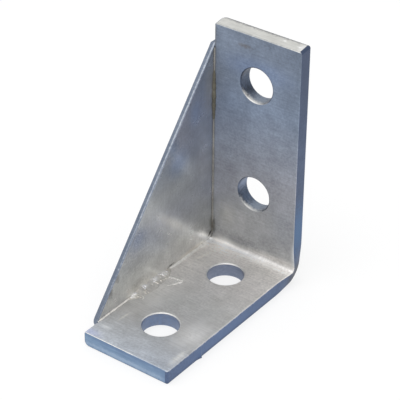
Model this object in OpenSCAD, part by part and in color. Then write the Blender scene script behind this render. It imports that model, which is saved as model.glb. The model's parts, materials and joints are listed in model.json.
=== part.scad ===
// Gusseted angle bracket for strut channel.
// A flat bar is bent to a right angle and punched with two bolt holes in each leg,
// and a thin stiffening plate is welded against its left edge.
// Origin: underside of the base leg, midway between its bolt holes. +Y runs back to the upright.

/* [Bar] */
// Width of the flat bar
bar_w = 40; // [30:1:60]
// Thickness of the flat bar
bar_t = 6; // [5:0.5:8]
// Length of the base leg, from its front end to the back of the upright
base_len = 87.5; // [85:0.5:160]
// Height of the upright, from the underside to the front edge of its top end
upright_h = 104; // [95:0.5:200]
// How much higher the back edge of the top end stands, from a cut out of square
end_slant = 0.8; // [0:0.1:2]
// Radius inside the bend
bend_r = 2; // [1:0.5:5]
// Rounding of the long edge under and behind the bar on the gusset's side
mill_edge_r = 2; // [0.5:0.1:2]
// Break on the other long edges
edge_r = 0.4; // [0.2:0.1:0.8]

/* [Marks of the forming] */
// How far the squeezed inner face of the bend swells past the bar's free edge
bend_swell = 1; // [0:0.1:1.5]
// How far the stretched outer face of the bend draws in at the free edge
bend_draw = 0.8; // [0:0.1:1.5]
// Length of bar each side of the bend's middle over which swell and draw fade out
bend_fade = 14; // [10:1:20]
// Distance from the base's front end to the nib of zinc on its lower free edge
nib_start = 20.5; // [10:0.5:30]
// How far the nib stands out
nib_proud = 0.7; // [0:0.1:1.2]
// Length of the nib's slope, which faces the front
nib_len = 3; // [1:0.5:6]

/* [Bolt holes] */
// Diameter of each bolt hole
hole_d = 14.8; // [8:0.1:18]
// Distance from the base's front end to its first hole
base_end = 21.5; // [16:0.5:30]
// Distance between the base's holes
base_pitch = 42; // [30:0.5:44]
// Distance from the upright's top end to its first hole
upright_end = 20.5; // [16:0.5:30]
// Distance between the upright's holes
upright_pitch = 49; // [30:0.5:55]
// Rounding of each hole's rim on the inside faces, where the punch went in
rim_r = 0.4; // [0.1:0.1:1]
// Break on each hole's rim on the outside faces
exit_break = 0.3; // [0.1:0.1:0.6]

/* [Gusset] */
// Thickness of the gusset plate
gusset_t = 2.3; // [1.5:0.1:6]
// How far the gusset laps over the edge of the bar
gusset_lap = 4; // [2:0.5:4]
// Bare length of base leg in front of the gusset
gusset_front_gap = 8; // [2:0.5:20]
// Bare height of upright above the gusset
gusset_top_gap = 8.7; // [2:0.1:20]
// Length of the gusset's flat top end
gusset_land = 3.5; // [1:0.5:8]
// Rounding of the gusset's front tip
gusset_tip_r = 3; // [1:0.5:5]

/* [Welds] */
// Length of the weld along the base
base_weld_len = 27; // [10:1:30]
// Distance from the base's front end to its weld
base_weld_start = 26.5; // [20:0.5:35]
// Reach of that weld across the base
base_weld_reach = 6.5; // [2:0.5:8]
// Rise of that weld up the gusset
base_weld_rise = 2.5; // [1:0.5:8]
// Length of the weld up the upright
upright_weld_len = 22; // [10:1:30]
// Distance from the upright's top end to its weld
upright_weld_start = 20; // [18:0.5:35]
// Reach of that weld along both plates
upright_weld_reach = 1.6; // [0.8:0.2:3]
// Distance between the ripples of a weld
ripple_pitch = 9; // [4:0.5:12]

/* [Hidden] */

front_y = -base_pitch / 2 - base_end;
back_y = front_y + base_len;
edge_x = -bar_w / 2;

// Outer radius of the bend, where the bend starts along the base, and half its middle arc
outer_r = bend_r + bar_t;
bend_y = back_y - outer_r;
middle_r = bend_r + bar_t / 2;
half_arc = middle_r * PI / 4;

// The gusset's free edges lie this far inside the bar's outer faces
gusset_inset = bar_t - gusset_lap;
gusset_top_z = upright_h - gusset_top_gap;

// Steps round the bend, through each fading run, up the nib, and along a weld
bend_steps = 12;
fade_steps = 5;
nib_steps = 3;
bead_steps = 30;
// Steps round a large edge, tip or rim, round a small edge, and up the free side
round_steps = 6;
break_steps = 3;
side_steps = 4;
// Length over which the nib drops away at its back, and how steeply it thins along and up the edge
nib_drop = 0.6;
nib_slope = 2;
nib_thinning = 3;
// How much a weld's ripples swell it, and the bluntness of its ends and its face
ripple_swell = 0.14;
end_blunt = 0.12;
face_bulge = 0.9;
// How far a cutter runs past the faces it cuts, and the sides of its drawn circle
cut_over = 1;
hole_sides = 96;

galvanised = [0.62, 0.64, 0.67];
cut_steel = [0.55, 0.58, 0.63];
weld_metal = [0.66, 0.66, 0.63];
stained_weld = [0.45, 0.42, 0.36];

// Points along an arc in the plane
function arc(centre, r, from, to, steps) =
    [for (i = [0:steps]) let (a = from + (to - from) * i / steps) centre + r * [cos(a), sin(a)]];

// Section of the bar, as distance across it and depth from its outer face, anticlockwise
bar_section = concat(
    arc([edge_x + mill_edge_r, mill_edge_r], mill_edge_r, 180, 270, round_steps),
    arc([-edge_x - edge_r, edge_r], edge_r, 270, 360, break_steps),
    [for (i = [1:side_steps - 1]) [-edge_x, edge_r + (bar_t - 2 * edge_r) * i / side_steps]],
    arc([-edge_x - edge_r, bar_t - edge_r], edge_r, 0, 90, break_steps),
    arc([edge_x + edge_r, bar_t - edge_r], edge_r, 90, 180, break_steps)
);

// Place on the bar at a distance along its middle line from the middle of the bend, at a depth
function along_bar(s, depth) =
    s < -half_arc ? [bend_y + s + half_arc, depth]
    : s > half_arc ? [back_y - depth, outer_r + s - half_arc]
    : let (turn = 90 * (s + half_arc) / (2 * half_arc), r = outer_r - depth)
        [bend_y + r * sin(turn), outer_r - r * cos(turn)];

front_s = front_y - bend_y - half_arc;
top_s = upright_h - outer_r + half_arc;
nib_s = front_s + nib_start;

// Share of the bend's swell, and of the nib, at a distance along the bar
function swell_at(s) = abs(s) < bend_fade ? pow(cos(90 * s / bend_fade), 2) : 0;
function nib_at(s) = s > nib_s ? 0 : pow(max(0, 1 - (nib_s - s) / nib_len), nib_slope);

// How far the free edge is pushed out at a distance along the bar and a depth
function push(s, depth) =
    let (inner = depth / bar_t, outer = 1 - inner)
    swell_at(s) * (bend_swell * inner - bend_draw * outer)
        + nib_at(s) * nib_proud * pow(outer, nib_thinning);

// One ring of points round the bar, its end tipped by a rise at the outer face
function bar_ring(s, tip) =
    [for (p = bar_section)
        let (yz = along_bar(s, p[1]))
        [p[0] + (p[0] > 0 ? push(s, p[1]) : 0), yz[0], yz[1] + tip * (1 - p[1] / bar_t)]];

fade_run = bend_fade - half_arc;
bar_stations = concat(
    [front_s],
    [for (i = [0:nib_steps]) nib_s - nib_len * (1 - i / nib_steps)],
    [nib_s + nib_drop],
    [for (i = [0:fade_steps - 1]) -bend_fade + fade_run * i / fade_steps],
    [for (i = [0:bend_steps]) half_arc * (2 * i / bend_steps - 1)],
    [for (i = [1:fade_steps]) half_arc + fade_run * i / fade_steps]
);
bar_rings = concat([for (s = bar_stations) bar_ring(s, 0)], [bar_ring(top_s, end_slant)]);

// A closed solid skinned over a row of rings
module skin(rings) {
    n = len(rings[0]);
    last = len(rings) - 1;
    polyhedron(
        points = [for (ring = rings) each ring],
        faces = concat(
            [[for (i = [n - 1:-1:0]) i]],
            [for (j = [0:last - 1], i = [0:n - 1])
                let (a = j * n + i, b = j * n + (i + 1) % n)
                each [[a, b, b + n], [a, b + n, a + n]]],
            [[for (i = [0:n - 1]) last * n + i]]
        )
    );
}

// Cutter for a punched hole that enters the bar at z = 0 and leaves it below
module punched_hole() {
    hole_r = hole_d / 2;
    rotate_extrude($fn = hole_sides)
        polygon(concat(
            [[0, -bar_t - cut_over], [hole_r + exit_break, -bar_t - cut_over]],
            [[hole_r + exit_break, -bar_t], [hole_r, -bar_t + exit_break]],
            arc([hole_r + rim_r, -rim_r], rim_r, 180, 90, round_steps),
            [[hole_r + rim_r, cut_over], [0, cut_over]]
        ));
}

// A weld bead along +Z in the corner between two plates, reaching along X and along Y
module weld_bead(length, reach_x, reach_y) {
    skin([for (k = [0:bead_steps])
        let (
            share = k / bead_steps,
            ripple = ripple_swell * sin(360 * length * share / ripple_pitch),
            taper = end_blunt + (1 - end_blunt) * sqrt(sin(180 * share)),
            a = reach_x * taper * (1 + ripple),
            b = reach_y * taper * (1 - ripple)
        )
        concat(
            [[0, 0, length * share]],
            [for (i = [0:round_steps])
                let (turn = 90 - 90 * i / round_steps)
                [a * pow(cos(turn), 2 / face_bulge), b * pow(sin(turn), 2 / face_bulge), length * share]]
        )]);
}

// Outline of the gusset as distances back and up, anticlockwise from the start of its heel
foot_y = front_y + gusset_front_gap;
land_y = back_y - gusset_inset - gusset_land;
slope = (land_y - foot_y) / (gusset_top_z - bar_t);
tip_angle = atan2(1, slope);
tip_y = foot_y - slope * gusset_lap + gusset_tip_r / tan(tip_angle / 2);
gusset_outline = concat(
    arc([bend_y, outer_r], outer_r - gusset_inset, 270, 360, bend_steps),
    [[back_y - gusset_inset, gusset_top_z], [land_y, gusset_top_z]],
    arc([tip_y, gusset_inset + gusset_tip_r], gusset_tip_r, 90 + tip_angle, 270, round_steps)
);

// Bent bar with its punched holes
module angle_plate() {
    color(galvanised)
        difference() {
            skin(bar_rings);
            for (end = [-1, 1])
                translate([0, end * base_pitch / 2, bar_t]) punched_hole();
            for (step = [0, 1])
                translate([0, back_y - bar_t, upright_h - upright_end - step * upright_pitch])
                    rotate([90, 0, 0]) punched_hole();
        }
}

// Stiffening plate against the bar's left edge
module gusset_plate() {
    color(cut_steel)
        translate([edge_x - gusset_t, 0, 0])
            rotate([90, 0, 90]) linear_extrude(gusset_t) polygon(gusset_outline);
}

// Weld between the gusset and the top of the base leg
module base_weld() {
    color(weld_metal)
        translate([edge_x, front_y + base_weld_start + base_weld_len, bar_t])
            rotate([90, 0, 0]) weld_bead(base_weld_len, base_weld_reach, base_weld_rise);
}

// Weld between the gusset and the front of the upright
module upright_weld() {
    color(stained_weld)
        translate([edge_x, back_y - bar_t, upright_h - upright_weld_start])
            rotate([180, 0, 0]) weld_bead(upright_weld_len, upright_weld_reach, upright_weld_reach);
}

angle_plate();
gusset_plate();
base_weld();
upright_weld();
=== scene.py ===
import json
import math

import bmesh
import bpy
import numpy as np
from mathutils import Matrix, Vector


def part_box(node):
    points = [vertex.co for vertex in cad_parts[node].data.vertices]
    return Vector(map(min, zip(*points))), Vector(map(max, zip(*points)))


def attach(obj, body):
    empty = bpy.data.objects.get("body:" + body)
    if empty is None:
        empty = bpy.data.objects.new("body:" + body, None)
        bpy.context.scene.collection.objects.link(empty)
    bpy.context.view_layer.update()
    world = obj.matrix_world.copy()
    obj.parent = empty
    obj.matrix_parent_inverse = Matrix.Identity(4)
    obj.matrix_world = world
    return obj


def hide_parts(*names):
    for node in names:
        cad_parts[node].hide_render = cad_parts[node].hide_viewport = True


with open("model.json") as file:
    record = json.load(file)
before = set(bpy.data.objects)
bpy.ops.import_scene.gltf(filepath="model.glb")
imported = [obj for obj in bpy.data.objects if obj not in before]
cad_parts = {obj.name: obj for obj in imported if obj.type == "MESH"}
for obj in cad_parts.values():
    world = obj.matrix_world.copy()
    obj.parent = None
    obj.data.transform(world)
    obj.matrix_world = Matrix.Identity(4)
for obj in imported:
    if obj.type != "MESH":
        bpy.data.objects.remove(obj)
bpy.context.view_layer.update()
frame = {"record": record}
mm = 0.001  # shapes are worked out in millimetres and stored in metres
print("stage: frame loaded")


# helpers for meshes
meshing = {
    "join": 0.002, "sliver": 0.001,  # mm, points closer than this are joined and thinner faces dropped
    "slack": 1e-4, "decimals": 5,  # mm and digits, for telling places along the bar apart
}


def metres(values):
    return tuple(value * mm for value in values)


def gridQuads(rows, cols, wrap=False):
    # quads of a grid of points, rows by cols, with the last column joined to the first where wrap is set
    row = np.arange(rows - 1)[:, None]
    col = np.arange(cols if wrap else cols - 1)[None, :]
    after = (col + 1) % cols
    return np.stack([row * cols + col, row * cols + after,
                     (row + 1) * cols + after, (row + 1) * cols + col], axis=-1)


def evenShares(cells):
    return np.linspace(0, 1, cells + 1)


def arcOf(centre, radius, start, stop, cells):
    # points on an arc in the plane with their outward directions, as rows of place and direction
    turn = np.radians(np.linspace(start, stop, cells + 1))
    way = np.stack([np.cos(turn), np.sin(turn)], axis=1)
    return np.hstack([np.array(centre) + radius * way, way])


def lineOf(start, stop, way, shares):
    # points on a straight line at the given shares of its length, all with one outward direction
    shares = np.asarray(shares, float)[:, None]
    place = np.array(start) * (1 - shares) + np.array(stop) * shares
    return np.hstack([place, np.tile(way, (len(shares), 1))])


def smoothStep(value, low, high):
    # 0 below low, 1 above high and an S curve between
    share = np.clip((value - low) / (high - low), 0, 1)
    return share * share * (3 - 2 * share)


def waves(value, parts):
    # 1 with a few sines added, each given by its size, its rate and its start
    return 1 + sum(size * np.sin(value * rate + start) for size, rate, start in parts)


def makePiece(name, patches, caps, finishes, node=None):
    # one closed mesh from patches of points, quads and a finish number, with flat caps as loops of points
    points, faces, finishOf, start = [], [], [], 0
    for place, quads, number in patches:
        place, quads = place.reshape(-1, 3), quads.reshape(-1, 4)
        points.append(place)
        faces += (quads + start).tolist()
        finishOf.append(np.broadcast_to(number, len(quads)))
        start += len(place)
    for loop, number in caps:
        points.append(loop)
        faces.append(list(range(start, start + len(loop))))
        finishOf.append(np.array([number]))
        start += len(loop)
    mesh = bpy.data.meshes.new(name)
    mesh.from_pydata((np.concatenate(points) * mm).tolist(), [], faces)
    mesh.polygons.foreach_set("material_index", np.concatenate(finishOf).astype(np.int32))
    work = bmesh.new()
    work.from_mesh(mesh)
    bmesh.ops.remove_doubles(work, verts=work.verts, dist=meshing["join"] * mm)
    bmesh.ops.dissolve_degenerate(work, edges=work.edges, dist=meshing["sliver"] * mm)
    bmesh.ops.recalc_face_normals(work, faces=work.faces)
    work.to_mesh(mesh)
    work.free()
    mesh.polygons.foreach_set("use_smooth", np.ones(len(mesh.polygons), bool))
    for finish in finishes:
        mesh.materials.append(finish)
    piece = bpy.data.objects.new(name, mesh)
    bpy.context.scene.collection.objects.link(piece)
    weighted = piece.modifiers.new("faceNormals", "WEIGHTED_NORMAL")  # keeps flat faces flat
    weighted.keep_sharp = True
    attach(piece, "root")
    if node:
        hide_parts(node)
    print("stage:", name, len(mesh.polygons), "faces")
    return piece


# helpers for materials

def linear(hexText):
    # sRGB hex to linear colour, by the standard's own curve
    shares = np.array([int(hexText[i:i + 2], 16) for i in (1, 3, 5)]) / 255
    values = np.where(shares <= 0.04045, shares / 12.92, ((shares + 0.055) / 1.055) ** 2.4)
    return (*values.tolist(), 1.0)


def add(tree, kind, inputs=None, **settings):
    # adds a node, sets its settings, and sets or links its inputs
    made = tree.nodes.new(kind)
    stops = settings.pop("stops", [])
    for key, value in settings.items():
        setattr(made, key, value)
    for place, tone in stops[2:]:
        made.color_ramp.elements.new(place)
    for i, (place, tone) in enumerate(stops):
        made.color_ramp.elements[i].position, made.color_ramp.elements[i].color = place, tone
    for key, value in (inputs or {}).items():
        if isinstance(value, bpy.types.NodeSocket):
            tree.links.new(value, made.inputs[key])
        else:
            made.inputs[key].default_value = value
    return made


def calc(tree, operation, *values, clamp=False):
    # one step of arithmetic on sockets or numbers
    inputs = dict(enumerate(values))
    return add(tree, "ShaderNodeMath", inputs, operation=operation, use_clamp=clamp).outputs[0]


def fade(tree, value, start, stop, low=0.0, high=1.0, soft=True):
    # goes from low where the value is at start to high where it is at stop, and stays there beyond them
    return add(tree, "ShaderNodeMapRange", {
        "Value": value, "From Min": start, "From Max": stop, "To Min": low, "To Max": high},
        interpolation_type="SMOOTHSTEP" if soft else "LINEAR").outputs[0]


def noise(tree, place, size, detail, roughness, distortion=0.0):
    # a cloudy pattern with lumps of about the given size
    return add(tree, "ShaderNodeTexNoise", {
        "Vector": place, "Scale": 1 / size, "Detail": detail, "Roughness": roughness,
        "Distortion": distortion}).outputs["Fac"]


def layOver(tree, share, under, tone):
    inputs = {"Factor": share, "A": under, "B": tone}
    return add(tree, "ShaderNodeMix", inputs, data_type="RGBA").outputs["Result"]


def newFinish(name):
    finish = bpy.data.materials.new(name)
    finish.use_nodes = True
    finish.node_tree.nodes.clear()
    return finish, finish.node_tree


def dressMetal(tree, colour, metallic, roughness, height, strength, relief):
    bump = add(tree, "ShaderNodeBump", {"Height": height, "Strength": strength, "Distance": relief * mm})
    metal = add(tree, "ShaderNodeBsdfPrincipled", {
        "Base Color": colour, "Metallic": metallic, "Roughness": roughness, "Normal": bump.outputs[0]})
    add(tree, "ShaderNodeOutputMaterial", {"Surface": metal.outputs[0]})


# camera at the photograph's viewing angle
camera = {
    "azimuth": 36.637, "elevation": 32.765, "roll": 0.502,  # degrees
    "distance": 672.486,  # mm from the point looked at
    "lookAt": (0, 15, 40), "aside": 6.78, "below": -3.48,  # mm
    "focal": 1743.85, "picture": 400, "sensor": 36.0,  # pixels, pixels, mm
    "clip": (0.01, 20),  # m
}


def makeCamera():
    turn, lift, roll = (math.radians(camera[key]) for key in ("azimuth", "elevation", "roll"))
    back = Vector((math.sin(turn) * math.cos(lift), -math.cos(turn) * math.cos(lift), math.sin(lift)))
    right = (-back).cross(Vector((0, 0, 1))).normalized()
    up = right.cross(-back)
    side = right * math.cos(roll) + up * math.sin(roll)
    top = up * math.cos(roll) - right * math.sin(roll)
    place = Vector(camera["lookAt"]) + back * camera["distance"]
    place = place - side * camera["aside"] - top * camera["below"]
    lens = bpy.data.cameras.new("camera")
    lens.sensor_width = camera["sensor"]
    lens.lens = camera["focal"] / camera["picture"] * camera["sensor"]
    lens.clip_start, lens.clip_end = camera["clip"]
    made = bpy.data.objects.new("camera", lens)
    made.matrix_world = Matrix.Translation(place * mm) @ Matrix((side, top, back)).transposed().to_4x4()
    bpy.context.scene.collection.objects.link(made)
    bpy.context.scene.camera = made


makeCamera()
print("stage: camera")


# floor, world and lamps
studio = {
    "floor": "#fcfcfc", "floorSize": 8.0, "floorPoints": 9,  # m across, points along each side
    "floorGap": 0.05,  # mm under the object
    "floorGlow": 0.72,  # share of plain white seen in the floor, which thins its shadow
    "world": "#ffffff", "worldStrength": 0.85,
    "lamps": (  # name, place m, target m, size m, watts
        ("overhead", (-0.15, -0.25, 0.9), (0, 0, 0.04), 0.7, 2.2),
        ("front", (0.56, -0.64, 0.74), (0, 0, 0.04), 0.45, 1.6),
    ),
}


def makeFloor():
    half, count = studio["floorSize"] / 2, studio["floorPoints"]
    across = np.linspace(-half, half, count)
    x, y = np.meshgrid(across, across)
    points = np.stack([x, y, np.full_like(x, -studio["floorGap"] * mm)], axis=-1)
    mesh = bpy.data.meshes.new("floor")
    mesh.from_pydata(points.reshape(-1, 3).tolist(), [], gridQuads(count, count).reshape(-1, 4).tolist())
    floor = bpy.data.objects.new("floor", mesh)
    bpy.context.scene.collection.objects.link(floor)
    finish, tree = newFinish("matte paper")  # plain white paper that fades into the background
    paper = add(tree, "ShaderNodeBsdfDiffuse", {"Color": linear(studio["floor"])})
    white = add(tree, "ShaderNodeEmission", {"Strength": 1.0})
    rays = add(tree, "ShaderNodeLightPath").outputs
    seen = calc(tree, "ADD", rays["Is Camera Ray"], rays["Is Glossy Ray"])
    seen = calc(tree, "ADD", seen, rays["Is Transmission Ray"], clamp=True)
    share = calc(tree, "MULTIPLY", seen, studio["floorGlow"])
    mixed = add(tree, "ShaderNodeMixShader", {0: share, 1: paper.outputs[0], 2: white.outputs[0]})
    add(tree, "ShaderNodeOutputMaterial", {"Surface": mixed.outputs[0]})
    mesh.materials.append(finish)


def makeLights():
    world = bpy.data.worlds.new("studio")
    world.use_nodes = True
    world.node_tree.nodes.clear()
    sky = add(world.node_tree, "ShaderNodeBackground",
              {"Color": linear(studio["world"]), "Strength": studio["worldStrength"]})
    add(world.node_tree, "ShaderNodeOutputWorld", {"Surface": sky.outputs[0]})
    bpy.context.scene.world = world
    for name, place, target, size, watts in studio["lamps"]:
        lamp = bpy.data.lights.new(name, "AREA")
        lamp.size, lamp.energy = size, watts
        made = bpy.data.objects.new(name, lamp)
        made.location = place
        made.rotation_mode = "QUATERNION"
        made.rotation_quaternion = (Vector(target) - Vector(place)).to_track_quat("-Z", "Y")
        bpy.context.scene.collection.objects.link(made)
    bpy.context.scene.view_settings.view_transform = "Standard"


makeFloor()
makeLights()
print("stage: studio")


# sizes that every piece shares, from the frame
barLow, barHigh = (np.array(corner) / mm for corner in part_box("angle_plate"))
gussetLow, gussetHigh = (np.array(corner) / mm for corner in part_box("gusset_plate"))
baseWeldLow, baseWeldHigh = (np.array(corner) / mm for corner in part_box("base_weld"))
uprightWeldLow, uprightWeldHigh = (np.array(corner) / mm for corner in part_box("upright_weld"))
mounts = {mount["name"]: mount for mount in frame["record"]["mounts"]}

bar = {  # mm
    "thick": 6.0, "bendRadius": 2.0,
    "millEdge": 2.0, "edgeBreak": 0.4, "endBreak": 0.36,  # roundings of its edges
    "frontCorner": 0.8, "topCorner": 0.9, "cornerReach": 5.0,  # ends worn round at the free edge
    "endSlant": 0.8, "slantReach": 8.0,  # top end cut out of square
    "swell": 0.98, "draw": 0.8, "fade": 14.0,  # free edge pushed out and drawn in at the bend
    "nibStart": 20.5, "nibProud": 0.7, "nibLength": 3.0, "nibDrop": 0.6,
    "freeFrom": 12.0,  # across the bar, where the free edge's shape starts
    "rim": 0.4, "exitBreak": 0.12,  # roundings of a hole
    "dish": 0.12, "dishReach": 1.0, "dishFade": 2.0,  # hollow that the punch left round it
    "lightTo": 4.0,  # across the bar, end of the light line on the front end
    "patch": 11.0, "cell": 1.4,  # half the square of mesh round a hole, longest cell
}
leftX = barLow[0]
rightX = -leftX
frontY, backY = barLow[1], barHigh[1]
outerR = bar["bendRadius"] + bar["thick"]
bendY = backY - outerR
halfArc = (bar["bendRadius"] + bar["thick"] / 2) * math.pi / 4
uprightHeight = barHigh[2] - bar["endSlant"]
frontS = frontY - bendY - halfArc  # distances along the bar from the middle of its bend
topS = uprightHeight - outerR + halfArc
nibS = frontS + bar["nibStart"]


def baseS(y):
    return y - bendY - halfArc


def uprightS(z):
    return z - outerR + halfArc


def layAlongBar(x, depth, s):
    # carries a place in the bar's section along its middle line: straight, a quarter circle, straight;
    # the free edge swells and draws in as a squared cosine round the bend, and the nib climbs as a square
    inner = depth / bar["thick"]
    outer = 1 - inner
    bent = np.where(np.abs(s) < bar["fade"], np.cos(math.pi * s / (2 * bar["fade"])) ** 2, 0)
    climb = np.clip(1 - (nibS - s) / bar["nibLength"], 0, 1) ** 2
    nib = np.where(s <= nibS, climb, np.clip(1 - (s - nibS) / bar["nibDrop"], 0, 1))
    push = bent * (bar["swell"] * inner - bar["draw"] * outer)
    push = push + nib * bar["nibProud"] * np.clip(outer, 0, 1) ** 3
    free = smoothStep(x, bar["freeFrom"], rightX - bar["edgeBreak"])
    turn = np.clip((s + halfArc) / (2 * halfArc), 0, 1) * math.pi / 2
    radius = outerR - depth
    rise = np.clip((s - topS + bar["slantReach"]) / bar["slantReach"], 0, 1) * bar["endSlant"]
    y = bendY + np.minimum(s + halfArc, 0) + radius * np.sin(turn)
    z = outerR - radius * np.cos(turn) + np.maximum(s - halfArc, 0) + rise * outer
    return np.stack(np.broadcast_arrays(x + push * free, y, z), axis=-1)


# materials
zinc = {
    "mottle": (7.0 * mm, 4.0, 0.65), "grain": (1.0 * mm, 2.0, 0.6),  # size, detail, roughness of a pattern
    "streak": (1.0, 3.0, 0.6, 0.4),  # in lengths and widths of a streak, and its distortion
    "streakLength": 10.0, "streakWidth": 0.6,  # mm; real brushing is finer than a pixel
    "streakTurn": 4,  # degrees
    "span": (0.3, 0.7),  # part of a pattern's range that shows
    "films": {  # roughness, relief in mm, how metallic, and how far clouds, wiping and grain shade the film
        "bar": (0.55, 0.04, 0.88, 0.12, 0.09, 0.12),
        "sheet": (0.31, 0.012, 1.0, 0.13, 0.05, 0.09),
        "back": (0.4, 0.04, 1.0, 0.11, 0.11, 0.12),
        "weld": (0.5, 0.03, 0.55, 0.1, 0.05, 0.12),
        "bead": (0.32, 0.04, 0.6, 0.1, 0.05, 0.12),
        "crest": (0.22, 0.01, 0.8, 0.1, 0.03, 0.12),
        "stain": (0.42, 0.04, 1.0, 0.12, 0.1, 0.12),
    },
    "roughSpread": 0.05, "bump": 0.35,  # change of roughness with the clouds, strength of the relief
    "bendAt": 42.8, "bendReach": (0.8, 3.0),  # mm along the bar, where the press burnished the bend
    "bendRough": 0.42, "bendMetal": 0.5,
    "bendWide": -5.0, "bendWideTo": -4.0,  # mm it widens over the base at the gusset, and from where
    "lean": 3.0, "leanTo": 6.0,  # mm its tones shift to the base there, and from where
    # painted light and shade in these tones: lighter on the base towards the bend, near white at the bend for
    # its highlight, darker and bluer up the upright
    "along": (  # mm along the base, then up the upright
        (-36, "#c2c8d0"), (-14, "#c0bfbd"), (2, "#cfceca"), (24, "#e2ded9"), (39, "#ebe7e1"),
        (41.8, "#fdfaf5"), (43.2, "#fdfaf6"), (45.4, "#dcd9d6"), (47.8, "#c1c0bf"), (49.4, "#acadaf"),
        (81, "#a9abb4"), (113, "#929fb3"), (143, "#7e899a"),
    ),
    # painted light and shade in these tones: lighter low down by the base, darker higher up
    "height": (  # mm over the base
        (0, "#dbdbda"), (9, "#d1d3d2"), (25, "#bec2ca"), (36, "#c0c4c7"), (46, "#abb1ba"), (66, "#bbbbc2"),
        (90, "#b0aeab"),
    ),
    "plain": ((0, "#a8adb6"), (1, "#b9bdc4")),
    "shaded": "#5d6878", "shadeDepth": 0.2,  # painted shade on the upright's free edge
    "shadeAcross": (7, 19), "shadeUp": (48, 85),  # mm
    "stain": "#77746c", "stainDepth": 0.35,
    "stainReach": (0.35, 1.2), "stainUp": (2, 7),  # mm from a seam, and over the base
}
cut = {
    "lines": (1.0, 3.0, 0.6), "mottle": (7.0 * mm, 3.0, 0.6),  # as for zinc
    "span": (0.7, 1.3),  # part of both patterns' sum that shows
    "roughness": 0.42, "bump": 0.4, "relief": 0.08,  # relief in mm
}
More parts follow.
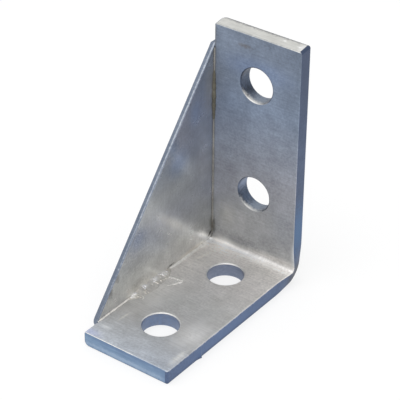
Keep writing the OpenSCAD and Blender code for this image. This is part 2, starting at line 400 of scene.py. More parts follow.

# soft marks: a few stains and spots of wear from handling, dipping and welding, and many painted highlights,
# painted reflections and painted shade: place mm, half sizes mm, turn in the face in degrees, tone, strength,
# raggedness
markEdge = (0.5, 1.4)  # shares of its half size where a mark starts to fade and where it is gone
marks = {
    "bar": (
        # painted light on the base by the gusset, and a painted highlight over the bend
        ((-14, 13, 6), (12, 50, 6), 0, "#f2eee8", 0.7, 0.9),
        ((-12, 34.5, 6), (16, 9, 1.2), 0, "#fffaf4", 1.0, 0.6),
        ((14, -40.5, 6), (10, 4, 4), 0, "#8f949c", 0.3, 0.9),
        # painted shade just above the bend, painted light low on the upright and by the corner, painted shade
        # over its right and middle, and a bluer tint high up
        ((-8, 39, 10), (14, 1.5, 3), 0, "#86878a", 0.45, 0.6),
        ((0, 39, 23), (26, 4, 11), 0, "#bebfc0", 0.5, 0.9),
        ((-13, 39, 20), (7, 4, 9), 0, "#c9c9c6", 0.5, 0.9),
        ((15, 39, 24), (10, 4, 15), 0, "#8f98a6", 0.25, 0.9),
        ((-13, 39, 50), (6, 4, 6), 0, "#868d9a", 0.3, 0.9),
        ((0, 39, 90), (24, 4, 8), 0, "#7c92bd", 0.35, 0.9),
        # a brown spot by the top hole
        ((-5.8, 39, 98.9), (5, 4, 1.6), 0, "#6b6157", 0.45, 0.9),
        # a painted highlight along the foot of the bend, a painted highlight in the corner, and a pale streak
        # behind the rear hole
        ((-8, 36.9, 6.0), (15, 1.1, 0.8), 2, "#ffffff", 1.0, 0.3),
        ((-18.6, 36.4, 6), (2.2, 1.8, 1.2), 0, "#ffffff", 1.0, 0.2),
        ((-14.2, 27.8, 6), (0.9, 7, 4), -15, "#fffaf2", 1.0, 0.5),
        # a brown stain in the corner, and pale and bluish spots over the base's front
        ((-19.3, 39, 12.5), (1.2, 3, 4.5), 0, "#6f6c67", 0.75, 0.5),
        ((-14.2, -25.5, 6), (0.8, 5, 4), -4, "#f4f2ea", 0.5, 0.9),
        ((-15.5, -35.0, 6), (4, 1.5, 4), 0, "#f2f4f6", 0.5, 0.9),
        ((-19, -41, 6), (9, 4, 3), 0, "#b4bcdc", 0.6, 0.9),
        # painted highlights by the base's right edge, and painted light low on the upright's free edge
        ((14, -19, 6), (10, 15, 5), 0, "#fcfbf8", 0.6, 0.9),
        ((18, -33, 6), (3.0, 10, 3), 0, "#fbfaf6", 0.7, 1.2),
        ((20.5, 38.5, 14), (2.4, 3, 9), 0, "#e4e8ec", 0.6, 0.9),
    ),
    "run": (((-20, 39, 11.5), (3, 3, 5), 0, "#4a453f", 0.7, 0.9),),
    # a painted highlight where the run pools in the corner
    "seam": (((-19.4, 36.6, 6.2), (2.5, 2.5, 2), 0, "#ffffff", 1.0, 0.3),),
    "sheet": (
        # a painted reflection of the bend's highlight as a pale band down to the weld, and a dark spot by the
        # weld's rear end
        ((-20, -0.5, 11.2), (4, 9, 1.7), -38, "#eff1f0", 0.65, 0.8),
        ((-20, 11.4, 7.2), (4, 3.4, 0.9), 0, "#3c3a36", 0.75, 0.9),
        # lighter and darker patches low at the front, and bluer higher up
        ((-20, -28, 9), (4, 7, 4), 0, "#ecebe6", 0.5, 0.9),
        ((-20, -26.4, 14.5), (4, 2.2, 3.4), 0, "#5e5a60", 0.5, 0.9),
        ((-20, -22.2, 19.5), (4, 2.2, 3.4), 0, "#5e5a60", 0.4, 0.9),
        ((-20, -10, 21), (4, 17, 6), 0, "#8f949c", 0.3, 0.9),
        ((-20, -10, 30), (4, 10, 9), 0, "#7f8fac", 0.5, 0.9),
        # painted reflections of the bend's highlight as pale bands, a dark line by the corner, painted shade
        # above the bands, and painted light along the base seam
        ((-20, 13, 26.6), (4, 17, 3.2), -41, "#f4f3ee", 0.45, 0.8),
        ((-20, 31.8, 10.6), (4, 6, 1.3), -39, "#ffffff", 0.75, 0.6),
        ((-20, 37.4, 8.7), (4, 2.0, 0.7), 39, "#3a342e", 0.85, 0.3),
        ((-20, 28, 15.8), (4, 7, 1.9), -35, "#6f7074", 0.42, 0.7),
        ((-20, 26, 6.3), (4, 12, 2.4), 0, "#f2eee8", 0.8, 0.6),
        ((-20, 36, 10), (4, 4, 2.2), -41, "#6f7074", 0.35, 0.8),
        # painted shade behind the weld, and painted light on the upper back of the sheet
        ((-20, -9, 10.5), (4, 6, 3), 0, "#8f8f8f", 0.35, 0.9),
        ((-20, 36.5, 78), (4, 6, 18), 0, "#e0d4c4", 0.5, 0.9),
        ((-20, 33, 50), (4, 8, 20), 0, "#dcdde0", 0.5, 0.9),
        # bluish and pale blue patches higher up
        ((-20, 16.5, 53), (4, 10, 10), 0, "#6f8bb8", 0.4, 0.9),
        ((-20, 13, 61), (4, 6, 7), 0, "#7088a8", 0.5, 0.9),
        ((-20, 27, 70), (4, 6, 9), 0, "#a9bcd8", 0.4, 0.9),
    ),
    "bead": (
        # painted glints along the seam on the weld
        ((-19.2, -13, 6.8), (1.8, 3.2, 3), 0, "#fffdf8", 1.0, 1.3),
        ((-19.2, -5.5, 6.8), (1.6, 2.6, 3), 0, "#fffdf8", 1.0, 1.5),
        ((-19.2, 0.2, 6.8), (1.9, 2.6, 3), 0, "#fffdf8", 1.0, 1.3),
        ((-18.8, 6, 6.8), (2.8, 3.8, 3), 0, "#fffdf8", 1.0, 1.2),
    ),
    "side": (
        # painted light and shade on the cut sides: darker high up and bluer low down, painted contact shade
        # along the bottom, a painted highlight along the base's top edge, and painted shade at the bend's
        # outer foot
        ((20, 42, 95), (6, 9, 42), 0, "#49536a", 0.65, 0.9),
        ((20, 42, 24), (6, 9, 20), 0, "#58789e", 0.7, 0.9),
        ((20, -6, 3), (6, 75, 9), 0, "#6c84ad", 0.5, 0.9),
        ((20, -4, 0.2), (6, 75, 1.6), 0, "#3f4a60", 0.45, 0.9),
        ((20, -4, 6), (6, 75, 1.0), 0, "#d4d9e0", 0.9, 1.1),
        ((20, 42, 3), (4, 8, 7), 0, "#1c2536", 0.9, 0.6),
    ),
    "front": (
        # painted shade along the front end's top, painted light along its bottom, and darker at its right
        ((0, -42.5, 5.6), (40, 3, 1.9), 0, "#64799c", 0.55, 0.9),
        ((0, -42.5, 1.6), (40, 3, 1.7), 0, "#b4c6da", 0.5, 0.9),
        ((19.5, -42.5, 3), (4, 3, 9), 0, "#6a7fa3", 0.5, 0.9),
    ),
    "top": (
        # painted shade along the top end's back and front edges, painted light at its right where the smooth
        # shading falls off, a darker spot, and painted highlights at its right front corner
        ((0, 45.3, 104.8), (60, 2.3, 6), 0, "#5a5a60", 0.85, 0.9),
        ((-8, 38.8, 104), (50, 1.5, 6), 0, "#8e9399", 0.75, 0.9),
        ((18.5, 42.5, 104.6), (3, 5, 6), 0, "#ffffff", 0.6, 0.9),
        ((20.8, 44, 104.8), (1.7, 3, 6), 0, "#6c6c70", 0.8, 0.9),
        ((9.8, 42.8, 104.5), (1.3, 0.7, 6), 0, "#ffffff", 0.9, 0.9),
        ((17, 42, 104.5), (1.8, 0.6, 6), 0, "#ffffff", 0.8, 0.9),
        ((19, 40.7, 104.5), (0.8, 1.2, 6), 0, "#fffdf6", 0.9, 0.9),
    ),
    "baseBore": (((0, -21, 3), (15, 15, 12), 0, "#7790b8", 0.6, 0.9),),
    "uprightBore": (
        # painted light on the bores' lower walls, painted highlights on their lower rims, lighter on the
        # lower bore's left wall, and painted shade in the upper bore
        ((0, 42, 75.5), (8, 9, 4.5), 0, "#98a2b0", 0.8, 0.9),
        ((0, 42, 26.5), (8, 9, 4.5), 0, "#98a2b0", 0.8, 0.9),
        ((-2, 38.5, 75.6), (11, 2.9, 6.5), 0, "#ebeae7", 1.0, 0.7),
        ((-2, 38.5, 26.6), (11, 2.7, 6.5), 0, "#dddcd9", 1.0, 0.7),
        ((-7.4, 42, 36.5), (3, 8, 5), 0, "#8f9bb4", 0.7, 0.9),
        ((-5.5, 43.2, 79.5), (3, 3, 3), 0, "#31353b", 0.6, 0.9),
    ),
    "sheetEdge": (
        # a painted highlight along the strip's inner edge and painted shade along its outer edge
        ((-20.55, 0, 70), (0.55, 300, 95), 0, "#e9eef5", 0.6, 1.2),
        ((-22.3, 0, 50), (0.5, 300, 300), 0, "#5c6984", 0.35, 0.9),
    ),
}


def addMarks(tree, place, grain, colour, name):
    # lays each mark over the colour as a soft ellipsoid whose rim the grain breaks up; a very ragged one
    # falls into specks; on the sheet a mark turns about x, elsewhere about z
    for centre, half, turn, tone, strength, ragged in marks.get(name, ()):
        turned = (math.radians(turn), 0, 0) if name == "sheet" else (0, 0, math.radians(turn))
        spot = add(tree, "ShaderNodeMapping", {
            "Vector": place, "Location": metres(centre), "Rotation": turned, "Scale": metres(half)},
            vector_type="TEXTURE").outputs[0]
        away = add(tree, "ShaderNodeVectorMath", {0: spot}, operation="LENGTH").outputs["Value"]
        rim = calc(tree, "MULTIPLY_ADD", grain, ragged, away)
        colour = layOver(tree, fade(tree, rim, *markEdge, strength, 0.0), colour, linear(tone))
    return colour


def layTones(tree, value, tones, unit):
    # colours laid along a value, each at its own place
    low, high = tones[0][0], tones[-1][0]
    share = fade(tree, value, low * unit, high * unit, soft=False)
    return add(tree, "ShaderNodeValToRGB", {"Fac": share},
               stops=[((at - low) / (high - low), linear(tone)) for at, tone in tones]).outputs["Color"]


def shadeFreeEdge(tree, axes, colour):
    # painted shade: the upright's free edge is darker towards its top
    across = fade(tree, axes["X"], *metres(zinc["shadeAcross"]), 0.0, zinc["shadeDepth"])
    level = fade(tree, axes["Z"], *metres(zinc["shadeUp"]))
    return layOver(tree, calc(tree, "MULTIPLY", across, level), colour, linear(zinc["shaded"]))


def stainSeam(tree, axes, over, colour, spread):
    # brown stain beside the seam: up the upright's side of it, and all along the sheet's
    if spread == "along":
        seam = calc(tree, "SUBTRACT", axes["X"], leftX * mm)
    else:
        seam = calc(tree, "MINIMUM", calc(tree, "SUBTRACT", (backY - bar["thick"]) * mm, axes["Y"]), over)
    near = fade(tree, seam, *metres(zinc["stainReach"]), zinc["stainDepth"], 0.0)
    if spread == "along":
        near = calc(tree, "MULTIPLY", near, fade(tree, over, *metres(zinc["stainUp"]), soft=False))
    return layOver(tree, near, colour, linear(zinc["stain"]))


def burnishBend(tree, axes, run, roughness, metallic):
    # the press burnished the bend, in a band that widens over the base towards the gusset
    fromBend = calc(tree, "SUBTRACT", run, zinc["bendAt"] * mm)
    widen = fade(tree, axes["X"], leftX * mm, zinc["bendWideTo"] * mm, zinc["bendWide"] * mm, 0.0, soft=False)
    below = calc(tree, "MULTIPLY_ADD", fromBend, -1.0, widen)
    away = calc(tree, "MAXIMUM", fromBend, below)
    reach = metres(zinc["bendReach"])
    return (fade(tree, away, *reach, zinc["bendRough"], roughness),
            fade(tree, away, *reach, zinc["bendMetal"], metallic))


def zincFace(name, spread, tones, film, wearAndPaintedLight=""):
    # galvanised steel, dipped and rubbed: a satin grey with soft cloudy patches, fine grain and wiping
    # streaks, whose tones run along the bar, up the sheet, or plainly with the clouds; the tones along the
    # bar and up the sheet hold painted light and shade
    rough, relief, metallic, cloud, wipe, speckle = zinc["films"][film]
    finish, tree = newFinish(name)
    place = add(tree, "ShaderNodeTexCoord").outputs["Object"]
    axes = add(tree, "ShaderNodeSeparateXYZ", {0: place}).outputs
    run = calc(tree, "ADD", axes["Y"], axes["Z"])  # y plus z runs along both legs
    over = calc(tree, "SUBTRACT", axes["Z"], bar["thick"] * mm)
    mottle = noise(tree, place, *zinc["mottle"])
    grain = noise(tree, place, *zinc["grain"])
    flat = add(tree, "ShaderNodeCombineXYZ", {
        "X": axes["Z"] if spread == "height" else axes["X"],
        "Y": axes["Y"] if spread == "height" else run}).outputs[0]
    streakPlace = add(tree, "ShaderNodeMapping", {
        "Vector": flat, "Rotation": (0, 0, math.radians(zinc["streakTurn"])),
        "Scale": (1 / (zinc["streakLength"] * mm), 1 / (zinc["streakWidth"] * mm), 1)}).outputs[0]
    streak = noise(tree, streakPlace, *zinc["streak"])

    if spread == "along":
        lean = fade(tree, axes["X"], leftX * mm, zinc["leanTo"] * mm, zinc["lean"] * mm, 0.0, soft=False)
        colour = layTones(tree, calc(tree, "ADD", run, lean), tones, mm)
        colour = shadeFreeEdge(tree, axes, colour)
    elif spread == "height":
        colour = layTones(tree, over, tones, mm)
    else:
        colour = layTones(tree, mottle, tones, 1)
    if spread != "plain":
        colour = stainSeam(tree, axes, over, colour, spread)
    # the marks are stains and wear, and painted highlights, painted reflections and painted shade
    colour = addMarks(tree, place, grain, colour, wearAndPaintedLight)
    for pattern, depth in ((mottle, cloud), (streak, wipe), (grain, speckle)):
        shade = fade(tree, pattern, *zinc["span"], 1 - depth, 1 + depth, soft=False)
        colour = add(tree, "ShaderNodeVectorMath", {0: colour, 1: shade}, operation="MULTIPLY").outputs[0]
    spare = zinc["roughSpread"]
    roughness = fade(tree, mottle, *zinc["span"], rough + spare, rough - spare, soft=False)
    if spread == "along":
        roughness, metallic = burnishBend(tree, axes, run, roughness, metallic)
    dressMetal(tree, colour, metallic, roughness, calc(tree, "ADD", streak, grain), zinc["bump"], relief)
    return finish


def cutSteel(name, light, dark, lineLength, lineWidth, turned, wearAndPaintedLight=""):
    # a cut edge under thin zinc: bluer and duller than the faces, with fine lines from the cut, drawn in mm
    finish, tree = newFinish(name)
    place = add(tree, "ShaderNodeTexCoord").outputs["Object"]
    scale = (1 / (lineLength * mm), 1 / (lineWidth * mm), 1 / (lineWidth * mm))
    cutPlace = add(tree, "ShaderNodeMapping", {"Vector": place, "Rotation": turned, "Scale": scale})
    lines = noise(tree, cutPlace.outputs[0], *cut["lines"])
    mottle = noise(tree, place, *cut["mottle"])
    grain = noise(tree, place, *zinc["grain"])
    share = fade(tree, calc(tree, "ADD", lines, mottle), *cut["span"], soft=False)
    tone = layOver(tree, share, linear(dark), linear(light))
    # the marks here are mostly painted highlights and painted shade, with some wear
    tone = addMarks(tree, place, grain, tone, wearAndPaintedLight)
    dressMetal(tree, tone, 1.0, cut["roughness"], lines, cut["bump"], cut["relief"])
    return finish


# satin greys: the bar's tones hold painted light and shade, warm on its base, a painted highlight at the
# bend, bluer and darker up high; the sheet is smoother and painted lighter low down; hidden faces are plain
barZinc = zincFace("galvanised flat bar", "along", zinc["along"], "bar", "bar")
barBack = zincFace("galvanised bar back", "plain", zinc["plain"], "back")
sheetZinc = zincFace("galvanised sheet", "height", zinc["height"], "sheet", "sheet")
sheetBack = zincFace("galvanised sheet back", "plain", zinc["plain"], "back")
# pale warm zinc on the rough weld, glints on its crests, a pale line in the seam, brown stain up the upright
beadZinc = zincFace("zinc over weld", "plain", ((0, "#c3beb5"), (1, "#d8d3ca")), "bead", "bead")
crestZinc = zincFace("zinc rubbed bright", "plain", ((0, "#f6f4f0"), (1, "#ffffff")), "crest")
seamZinc = zincFace("zinc in a seam", "plain", ((0, "#d9d6d0"), (1, "#efece6")), "weld", "seam")
runZinc = zincFace("stained zinc run", "plain", ((0, "#7c7b78"), (1, "#8e8d8a")), "stain", "run")
stainZinc = zincFace("stained weld", "plain", ((0, "#5c5a52"), (1, "#6c6a60")), "stain")
# slate blue edges and bores; the sides, front end and top end are lit and shaded copies of one cut steel, the
# sides painted darker, the front lighter, the top end and the rims painted light
quarter = math.radians(90)
sideSteel = cutSteel("rolled edge", "#5c6983", "#4a5770", 18, 0.9, (0, 0, quarter), "side")
frontSteel = cutSteel("sheared front end", "#87a0bb", "#7187a5", 10, 0.8, (0, 0, 0), "front")
topSteel = cutSteel("sawn top end", "#e6e6e2", "#cfcfcb", 8, 0.7, (0, 0, 0), "top")
baseBore = cutSteel("punched bore in the base", "#8a92a5", "#717a8d", 4, 0.9, (0, quarter, 0), "baseBore")
uprightBore = cutSteel("punched bore in the upright", "#5f6c82", "#434853", 4, 0.9, (0, 0, quarter),
                       "uprightBore")
sheetEdge = cutSteel("sheared sheet edge", "#868f9e", "#707a8b", 10, 0.7, (0, 0, 0), "sheetEdge")
rimPaintedLight = cutSteel("worn rim", "#f0efec", "#dcdbd8", 3, 0.8, (0, 0, 0))
print("stage: materials")


# bent bar
barFinishes = {"face": barZinc, "side": sideSteel, "front": frontSteel, "top": topSteel, "baseBore": baseBore,
               "back": barBack, "uprightBore": uprightBore, "rim": rimPaintedLight}
numberOf = {name: number for number, name in enumerate(barFinishes)}
sectionFinish = {"outer": "back", "outerBreak": "side", "freeSide": "side", "innerBreak": "side",
                 "inner": "face", "leftBreak": "face", "leftSide": "side", "millEdge": "back"}
barCells = {  # cells of mesh over each stretch
    "edge": 4, "mill": 8, "freeSide": 6, "leftSide": 4, "margin": 5, "patch": 24, "bend": 28,
    "end": 4, "frontCorner": 3, "topCorner": 5, "nibLength": 9, "nibDrop": 3,
    "round": 8, "rim": 5, "bore": 4, "exit": 1,
}
ringCrowding = 0.7  # under 1 draws the rings round a hole closer to its rim


def faceLines(start, stop):
    # places across the bar: even cells round the holes and a few cells to each edge
    patch, margin = bar["patch"], barCells["margin"] + 1
    return np.concatenate([np.linspace(start, -patch, margin)[:-1],
                           np.linspace(-patch, patch, barCells["patch"] + 1),
                           np.linspace(patch, stop, margin)[1:]])


def barSection():
    # the bar's section as runs of across, depth and outward direction, anticlockwise from its outer face
    thick, small, large = bar["thick"], bar["edgeBreak"], bar["millEdge"]
    outerX = faceLines(leftX + large, rightX - small)
    innerX = faceLines(leftX + small, rightX - small)[::-1]
    level, edge = np.ones_like, barCells["edge"]
    return {
        "outer": np.stack([outerX, 0 * outerX, 0 * outerX, -level(outerX)], axis=1),
        "outerBreak": arcOf((rightX - small, small), small, -90, 0, edge),
        "freeSide": lineOf((rightX, small), (rightX, thick - small), (1, 0),
                           evenShares(barCells["freeSide"])),
        "innerBreak": arcOf((rightX - small, thick - small), small, 0, 90, edge),
        "inner": np.stack([innerX, thick * level(innerX), 0 * innerX, level(innerX)], axis=1),
        "leftBreak": arcOf((leftX + small, thick - small), small, 90, 180, edge),
        "leftSide": lineOf((leftX, thick - small), (leftX, large), (-1, 0), evenShares(barCells["leftSide"])),
        "millEdge": arcOf((leftX + large, large), large, 180, 270, barCells["mill"]),
    }


def barStations(holes):
    # distances along the bar: rounded ends, even cells round each hole, close steps at the bend and the nib
    ends, patch = bar["endBreak"], bar["patch"]
    places = [*(frontS + np.linspace(ends, bar["frontCorner"], barCells["frontCorner"] + 1)),
              *(topS - np.linspace(ends, bar["topCorner"], barCells["topCorner"] + 1)),
              *np.linspace(-halfArc, halfArc, barCells["bend"] + 1),
              *(nibS - np.linspace(0, bar["nibLength"], barCells["nibLength"] + 1)),
              *(nibS + np.linspace(0, bar["nibDrop"], barCells["nibDrop"] + 1))]
    for hole in holes:
        places += list(hole + np.linspace(-patch, patch, barCells["patch"] + 1))
    places = np.unique(np.round(places, meshing["decimals"]))
    gaps = np.diff(places)
    cells = np.maximum(np.ceil(gaps / bar["cell"]), 1).astype(int)
    start = np.repeat(places[:-1], cells)
    within = np.arange(cells.sum()) - np.repeat(np.cumsum(cells) - cells, cells)
    s = np.append(start + within * np.repeat(gaps / cells, cells), places[-1])
    turn = np.radians(90 * evenShares(barCells["end"]))[:-1]
    frontRound = frontS + ends * (1 - np.cos(turn))
    topRound = topS - ends * (1 - np.cos(turn))
    inset = ends * (1 - np.sin(turn))
    return (np.concatenate([frontRound, s, topRound[::-1]]),
            np.concatenate([inset, 0 * s, inset[::-1]]), len(turn))


def holePatch(holeS, s, radius):
    # one hole: from the square of mesh on the inner face over the rolled rim, down the bore,
    # over the broken exit and out to the square on the outer face
    patch, thick, rim, burr = bar["patch"], bar["thick"], bar["rim"], bar["exitBreak"]
    xLines = np.linspace(-patch, patch, barCells["patch"] + 1)
    sLines = s[np.abs(s - holeS) < patch + meshing["slack"]]
    edgeX = np.concatenate([xLines[:-1], np.full(len(sLines) - 1, patch),
                            xLines[:0:-1], np.full(len(sLines) - 1, -patch)])
    edgeS = np.concatenate([np.full(len(xLines) - 1, sLines[0]), sLines[:-1],
                            np.full(len(xLines) - 1, sLines[-1]), sLines[:0:-1]])
    angle = np.arctan2(edgeS - holeS, edgeX)
    shares = evenShares(barCells["round"])[:-1] ** ringCrowding
    roll = np.radians(90 * evenShares(barCells["rim"]))
    rings, bore = len(shares), barCells["bore"]
    ringR = np.concatenate([np.full(rings, radius + rim), radius + rim * (1 - np.sin(roll)),
                            [radius] * bore, [radius + burr] * (1 + rings)])
    ringDepth = np.concatenate([np.full(rings, thick), thick - rim * (1 - np.cos(roll)),
                                np.linspace(thick - rim, burr, bore + 1)[1:], [0.0] * (1 + rings)])
    ringShare = np.concatenate([shares, [1.0] * (len(roll) + bore + 1), shares[::-1]])
    ringR, ringDepth, ringShare = (row[:, None] for row in (ringR, ringDepth, ringShare))
    x = edgeX * (1 - ringShare) + ringR * np.cos(angle) * ringShare
    along = edgeS * (1 - ringShare) + (holeS + ringR * np.sin(angle)) * ringShare
    away = np.hypot(x, along - holeS) - radius
    sink = bar["dish"] * np.exp(-away / bar["dishReach"])
    sink *= smoothStep(patch - radius - away, 0, bar["dishFade"])
    depth = ringDepth - np.where(ringDepth > thick / 2, sink, 0) * (ringShare > 0)
    boreFinish = numberOf["baseBore" if holeS < 0 else "uprightBore"]
    finishOf = np.full(len(ringDepth) - 1, numberOf["face"])
    rimEnd = rings + barCells["rim"]
    boreEnd = rimEnd + bore + barCells["exit"]
    finishOf[rings:rimEnd] = numberOf["rim"] if holeS < 0 else boreFinish  # the base's rims are painted light, a painted highlight on their rounding
    finishOf[rimEnd:boreEnd] = boreFinish
    finishOf[boreEnd:] = numberOf["back"]
    return layAlongBar(x, depth, along), finishOf


def paintBar(finishOf, runOf, midX, rows, rounded):
    # finish of each cell of the bar, row by row along it, with the lines of light and shade on its two ends
    painted = np.tile(finishOf, (rows, 1))
    half = rounded // 2
    painted[-half:, np.isin(runOf, ("innerBreak", "inner"))] = numberOf["top"]
    painted[-rounded:, np.isin(runOf, ("outer", "outerBreak", "millEdge"))] = numberOf["side"]
    painted[:half, runOf == "inner"] = numberOf["front"]
    painted[half:rounded, (runOf == "inner") & (midX < bar["lightTo"])] = numberOf["rim"]
    painted[:rounded, np.isin(runOf, ("outer", "millEdge"))] = numberOf["side"]
    return painted


def makeBar():
    holes, radius = [], mounts["base_bolts"]["dims"]["hole_r_mm"]
    for name, axis, place in (("base_bolts", 1, baseS), ("upright_bolts", 2, uprightS)):
        mount = mounts[name]
        half = mount["dims"]["spacing_y_mm"] / 2
        holes += [place(mount["pos_m"][axis] / mm + half * side) for side in (-1, 1)]
    s, inset, rounded = barStations(holes)
    runs = barSection()
    ring = np.concatenate([run[:-1] for run in runs.values()])
    runOf = np.repeat(list(runs), [len(run) - 1 for run in runs.values()])
    pull = np.zeros_like(s)  # a quarter circle at each end of the free edge
    for size, away in ((bar["frontCorner"], s - frontS), (bar["topCorner"], topS - s)):
        pull += size - np.sqrt(size ** 2 - np.clip(size - away, 0, size) ** 2)
    free = smoothStep(ring[:, 0], rightX - bar["cornerReach"], rightX)
    points = layAlongBar(ring[:, 0] - inset[:, None] * ring[:, 2] - pull[:, None] * free,
                         ring[:, 1] - inset[:, None] * ring[:, 3], s[:, None])
    quads = gridQuads(len(s), len(ring), wrap=True)
    midX = (ring[:, 0] + np.roll(ring[:, 0], -1)) / 2
    midS = (s[:-1] + s[1:]) / 2
    keep = np.ones(quads.shape[:2], bool)
    flat = np.isin(runOf, ("outer", "inner")) & (np.abs(midX) < bar["patch"])
    for hole in holes:
        keep &= ~((np.abs(midS - hole) < bar["patch"])[:, None] & flat[None, :])
    finishOf = np.array([numberOf[sectionFinish[name]] for name in runOf])
    finishOf[np.flatnonzero(runOf == "innerBreak")[1:]] = numberOf["face"]  # the free edge's rounding takes the face's lighter zinc, a painted light line along it
    painted = paintBar(finishOf, runOf, midX, quads.shape[0], rounded)
    patches = [(points, quads[keep], painted[keep])]
    for hole in holes:
        place, ringFinish = holePatch(hole, s, radius)
        tube = gridQuads(*place.shape[:2], wrap=True)
        patches.append((place, tube, np.repeat(ringFinish, tube.shape[1])))
    caps = [(points[0], numberOf["front"]), (points[-1], numberOf["top"])]
    return makePiece("bent_bar", patches, caps, list(barFinishes.values()), "angle_plate")


makeBar()


# gusset
gusset = {
    "frontGap": 8.0, "land": 3.5, "tip": 3.0,  # mm
    "corner": 0.5, "edgeBreak": 0.35,  # mm, roundings
    "edgeWander": 0.05,  # mm, how far the sheared slope wanders
    "wander": ((0.3, 31, 0), (0.2, 77, 1)),  # waves of that, over its length
    "rings": (1, 0.97, 0.8, 0.5, 0.0),  # shares of the way out from the middle of a face
}
gussetCells = {"heel": 24, "corner": 4, "tip": 16, "slope": 41, "edge": 4}


def gussetOutline():
    # the outline as distances back and up with outward directions: heel, back, top, slope, tip, underside
    low, top, back = gussetLow[2], gussetHigh[2], gussetHigh[1]
    footY, landY = frontY + gusset["frontGap"], back - gusset["land"]
    lean = (landY - footY) / (top - bar["thick"])
    tilt = math.degrees(math.atan2(1, lean))
    tipR, small = gusset["tip"], gusset["corner"]
    tipY = footY - lean * (bar["thick"] - low) + tipR / math.tan(math.radians(tilt / 2))
    slopeWay = np.array([math.cos(math.radians(90 + tilt)), math.sin(math.radians(90 + tilt))])
    upWay = np.array([0.0, 1.0])
    shoulder = np.array([landY, top]) - small * (slopeWay + upWay) / (1 + slopeWay @ upWay)
    heel = arcOf((bendY, outerR), outerR - low, 270, 360, gussetCells["heel"])
    peak = arcOf((back - small, top - small), small, 0, 90, gussetCells["corner"])
    knee = arcOf(shoulder, small, 90, 90 + tilt, gussetCells["corner"])
    tip = arcOf((tipY, low + tipR), tipR, 90 + tilt, 270, gussetCells["tip"])
    inside = evenShares(gussetCells["slope"])[1:-1]
    sparse = inside[::4]
    slope = lineOf(knee[-1, :2], tip[0, :2], slopeWay, inside)
    slope[:, :2] -= gusset["edgeWander"] * (waves(inside, gusset["wander"]) - 0.5)[:, None] * slopeWay
    backEdge = lineOf(heel[-1, :2], peak[0, :2], (1, 0), sparse)
    under = lineOf(tip[-1, :2], heel[0, :2], (0, -1), sparse)
    return np.concatenate([heel, backEdge, peak, knee, slope, tip, under])


def makeGusset():
    # the outline carried through the sheet's thickness with small rounded edges, and flat faces drawn in
    # to their middle
    outline = gussetOutline()
    small, innerX, outerX = gusset["edgeBreak"], gussetHigh[0], gussetLow[0]
    turn = np.radians(90 * evenShares(gussetCells["edge"]))
    inset = np.concatenate([small * (1 - np.sin(turn)), small * (1 - np.sin(turn[::-1]))])
    x = np.concatenate([innerX - small * (1 - np.cos(turn)), outerX + small * (1 - np.cos(turn[::-1]))])
    edge = outline[None, :, :2] - inset[:, None, None] * outline[None, :, 2:]
    wall = np.concatenate([np.broadcast_to(x[:, None, None], (*edge.shape[:2], 1)), edge], axis=-1)
    middle = outline[:, :2].mean(axis=0)
    quads = gridQuads(*wall.shape[:2], wrap=True)
    finishes = [sheetZinc, sheetEdge, sheetBack]
    inner, sheared, outer = range(len(finishes))
    finishOf = np.full(quads.shape[:2], sheared)
    finishOf[:1] = inner  # the sheared strip starts a little way over the rounded edge
    patches = [(wall, quads, finishOf.ravel())]
    for row, number in ((0, inner), (-1, outer)):
        shares = np.array(gusset["rings"])[:, None, None]
        flat = middle + (edge[row][None] - middle) * shares
        face = np.concatenate([np.full((*flat.shape[:2], 1), x[row]), flat], axis=-1)
        patches.append((face, gridQuads(*face.shape[:2], wrap=True), number))
    return makePiece("gusset_sheet", patches, [], finishes, "gusset_plate")


makeGusset()


# welds and zinc runs in the corner between the gusset and the bar
welds = {  # mm, or shares of a weld's length or of its way up the gusset
    "sink": 0.12,  # how far a bead's foot lies under the faces it joins
    "baseReach": 4.2, "baseRise": 1.3, "baseHollow": 2.3,  # low hollow bead on the base
    "baseTaper": (0.3, 0.35), "baseEnd": 0.14,  # shares that taper at its ends, share left there
    "baseRipple": ((0.06, 17, 0), (0.03, 41, 1)),
    "lumps": 190, "lumpHigh": 0.4, "lumpLow": 0.2, "lumpWide": (0.16, 0.36), "lumpDown": 0.95,
    "clusters": (0.08, 0.13, 0.34, 0.57, 0.74, 0.8, 0.85), "gather": 0.045,
    "crest": 0.1, "crestFrom": 0.5,  # lumps above this height, up the bead from here, are bright
    "rim": 0.75, "rimLift": 0.28,  # half width of the crater's rim, and how high it is for it
    "rimPath": ((-19.2, 4.6), (-16.6, 5.9), (-13.2, 6.9), (-11.0, 6.8), (-10.9, 6.0), (-12.0, 3.4),
                (-13.6, 0.6)),
    "curl": 0.3, "curlLift": 0.55,  # the same for the curl where the weld started
    "curlPath": ((-19.3, -14.6), (-18.7, -12.2), (-17.2, -10.6), (-15.8, -11.2), (-15.5, -12.8)),
    "ridgeEnd": 0.2, "ridgeUnder": 0.6, "ridgeSink": 0.024,  # share left at an end, radians below, mm sunk
    "ridgeRipple": ((0.25, 40, 0), (0.2, 91, 0)),
    "uprightReach": 1.0, "uprightHollow": 1.4, "uprightEnd": 0.3,  # narrow bead up the upright
    "uprightRipple": ((0.1, 30, 0), (0.06, 71, 0)),
    "seam": 0.42, "rearSeam": 1.0, "rearFrom": (8, 18),  # zinc run before and behind the weld
    "seamGap": 0.2, "seamStart": 1.5, "seamThin": 0.3, "seamHollow": 1.7,
    "seamRipple": ((0.15, 1.7, 0), (0.1, 4.1, 0)),
    "pool": 1.2, "poolLength": 2.2, "poolAt": 0.4,  # its pool in the corner, just before the bend
    "poolThin": 0.5, "poolFrom": 4.0, "seamPast": 2.5,  # and how far the run goes on round the bend
    "run": 0.4, "runBefore": 1.0, "runShort": 1.5,  # stained run up the upright
    "runRipple": ((0.2, 1.3, 0), (0.15, 3.7, 0)),
}
weldPoints = {  # points of mesh along each stretch, and across a bead and a ridge
    "across": 31, "base": 240, "upright": 90, "seam": 160, "pool": 60, "ridge": 60, "ridgeRound": 13,
}
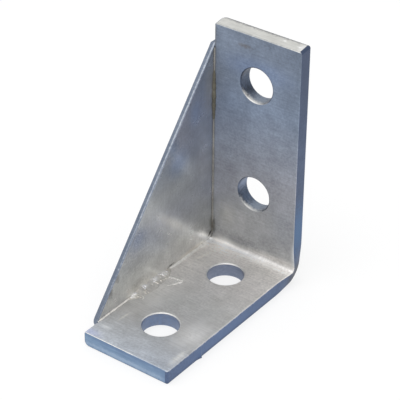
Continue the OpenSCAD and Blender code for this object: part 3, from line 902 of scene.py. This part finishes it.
smoothFace = np.zeros((1, weldPoints["across"]))  # no lumps
smoothRounds, smoothWeights = 6, np.array([1, 4, 6, 4, 1]) / 16  # how a ridge's path is rounded off


def closedTube(points):
    return (points, gridQuads(*points.shape[:2], wrap=True), 0), [(points[0], 0), (points[-1], 0)]


def fillet(s, reach, rise, hollow, lumps):
    # a fillet along the seam: at each station a hollow curve from its toe on the bar to its toe on the
    # gusset, pushed out along its slope by the lumps, and closed back to the corner just under both faces
    turn = np.radians(np.linspace(0, 90, lumps.shape[1]))[None, :]
    push = lumps * np.sqrt(np.sin(2 * turn).clip(0))
    x = reach[:, None] * np.cos(turn) ** hollow + push * np.sin(turn)
    d = rise[:, None] * np.sin(turn) ** hollow + push * np.cos(turn)
    foot = np.full((len(s), 1), -welds["sink"])
    x = np.hstack([x[:, :1], x, foot, foot])
    d = np.hstack([foot, d, d[:, -1:], foot])
    return closedTube(layAlongBar(leftX + x, bar["thick"] + d, s[:, None]))


def ridge(path, half, lift):
    # a low half round carried along a smoothed path on the base, thin at its ends and rippled
    knots = np.array(path, float)
    at = np.linspace(0, len(knots) - 1, weldPoints["ridge"])
    centre = np.stack([np.interp(at, np.arange(len(knots)), knots[:, i]) for i in (0, 1)], axis=1)
    for _ in range(smoothRounds):
        centre[2:-2] = np.stack([np.convolve(centre[:, i], smoothWeights, "valid") for i in (0, 1)], axis=1)
    way = np.gradient(centre, axis=0)
    way /= np.linalg.norm(way, axis=1)[:, None]
    share = np.linspace(0, 1, len(at))
    taper = welds["ridgeEnd"] + (1 - welds["ridgeEnd"]) * np.sqrt(np.clip(np.sin(math.pi * share), 0, 1))
    size = half * taper * waves(share, welds["ridgeRipple"])
    turn = np.linspace(-welds["ridgeUnder"], math.pi + welds["ridgeUnder"], weldPoints["ridgeRound"])[None, :]
    aside = size[:, None] * np.cos(turn)
    x = centre[:, :1] - way[:, 1:] * aside
    y = centre[:, 1:] + way[:, :1] * aside
    z = bar["thick"] - welds["ridgeSink"] + lift * size[:, None] * np.sin(turn)
    return closedTube(np.stack([x, y, z], axis=-1))


def baseLumps(rng, share, length):
    # the height of the base weld's lumps over its length and up its slope: round bumps that gather in
    # clusters, crowd towards the gusset and are seldom high
    count = welds["lumps"]
    mid = rng.choice(welds["clusters"], count) + rng.normal(0, welds["gather"], count)
    side = 1 - rng.uniform(0.0, welds["lumpDown"], count) ** 1.5
    wide = rng.uniform(*welds["lumpWide"], count)
    high = rng.uniform(welds["lumpLow"], 1, count) ** 2 * welds["lumpHigh"]
    across = np.linspace(0, 1, weldPoints["across"])
    lumps = np.einsum("k,ik,jk->ij", high,
                      np.exp(-((share[:, None] - mid) * length / wide) ** 2),
                      np.exp(-((across[:, None] - side) * welds["baseReach"] / wide) ** 2))
    return lumps, across


def makeBaseWeld():
    # a low rough bead whose crater has a raised rim, with a curl where it started
    s = np.linspace(baseS(baseWeldLow[1]), baseS(baseWeldHigh[1]), weldPoints["base"])
    share = (s - s[0]) / (s[-1] - s[0])
    first, last = welds["baseTaper"]
    narrow = np.sqrt(smoothStep(share, 0, first) * smoothStep(1 - share, 0, last))
    taper = welds["baseEnd"] + (1 - welds["baseEnd"]) * narrow
    ripple = waves(share, welds["baseRipple"])
    lumps, across = baseLumps(np.random.default_rng(11), share, s[-1] - s[0])
    reach, rise = welds["baseReach"] * taper * ripple, welds["baseRise"] * taper / ripple
    (place, quads, _), caps = fillet(s, reach, rise, welds["baseHollow"], lumps * taper[:, None])
    finishes = [beadZinc, crestZinc, seamZinc]
    finishOf = np.zeros(quads.shape[:2], int)
    finishOf[:, 1:len(across)] = (lumps[:-1, :-1] > welds["crest"]) & (across[:-1] > welds["crestFrom"])
    patches = [(place, quads, finishOf.ravel())]
    for name in ("rim", "curl"):
        (place, quads, _), ends = ridge(welds[name + "Path"], welds[name], welds[name + "Lift"])
        patches.append((place, quads, finishes.index(seamZinc)))
        caps += ends
    makePiece("base_bead", patches, caps, finishes, "base_weld")


def makeUprightWeld():
    # a narrow stained bead
    s = np.linspace(uprightS(uprightWeldLow[2]), uprightS(uprightWeldHigh[2]), weldPoints["upright"])
    share = (s - s[0]) / (s[-1] - s[0])
    taper = welds["uprightEnd"] + (1 - welds["uprightEnd"]) * np.sqrt(np.clip(np.sin(math.pi * share), 0, 1))
    reach = welds["uprightReach"] * taper * waves(share, welds["uprightRipple"])
    bead, ends = fillet(s, reach, reach, welds["uprightHollow"], smoothFace)
    makePiece("upright_bead", [bead], ends, [stainZinc], "upright_weld")


def makeBaseSeam():
    # zinc run along the base's seam: thin from the sheet's tip, wider behind the weld, pooled in the corner
    bendS, thin = -halfArc, welds["seamThin"]
    startS, poolS = baseS(frontY + gusset["frontGap"] + welds["seamGap"]), bendS - welds["poolFrom"]
    s = np.concatenate([np.linspace(startS, poolS, weldPoints["seam"])[:-1],
                        np.linspace(poolS, bendS + welds["seamPast"], weldPoints["pool"])])
    pool = np.exp(-((s - bendS + welds["poolAt"]) / welds["poolLength"]) ** 2)
    behind = smoothStep(s, *(baseS(y) for y in welds["rearFrom"]))
    start = thin + (1 - thin) * smoothStep(s, s[0], s[0] + welds["seamStart"])
    size = welds["seam"] * waves(s, welds["seamRipple"]) * start
    wider = behind * (welds["rearSeam"] - welds["seam"]) * (1 - pool) + pool * (welds["pool"] - welds["seam"])
    rise = size * (1 - welds["poolThin"] * pool)
    bead, ends = fillet(s, size + wider, rise, welds["seamHollow"], smoothFace)
    makePiece("base_seam_zinc", [bead], ends, [seamZinc])


def makeUprightSeam():
    # stained run up the upright's seam
    stopS = uprightS(gussetHigh[2] - welds["runShort"])
    s = np.linspace(halfArc - welds["runBefore"], stopS, weldPoints["seam"])
    size = welds["run"] * waves(s, welds["runRipple"])
    bead, ends = fillet(s, size, size, welds["seamHollow"], smoothFace)
    makePiece("upright_seam_zinc", [bead], ends, [runZinc])


makeBaseWeld()
makeUprightWeld()
makeBaseSeam()
makeUprightSeam()

print("stage: done")
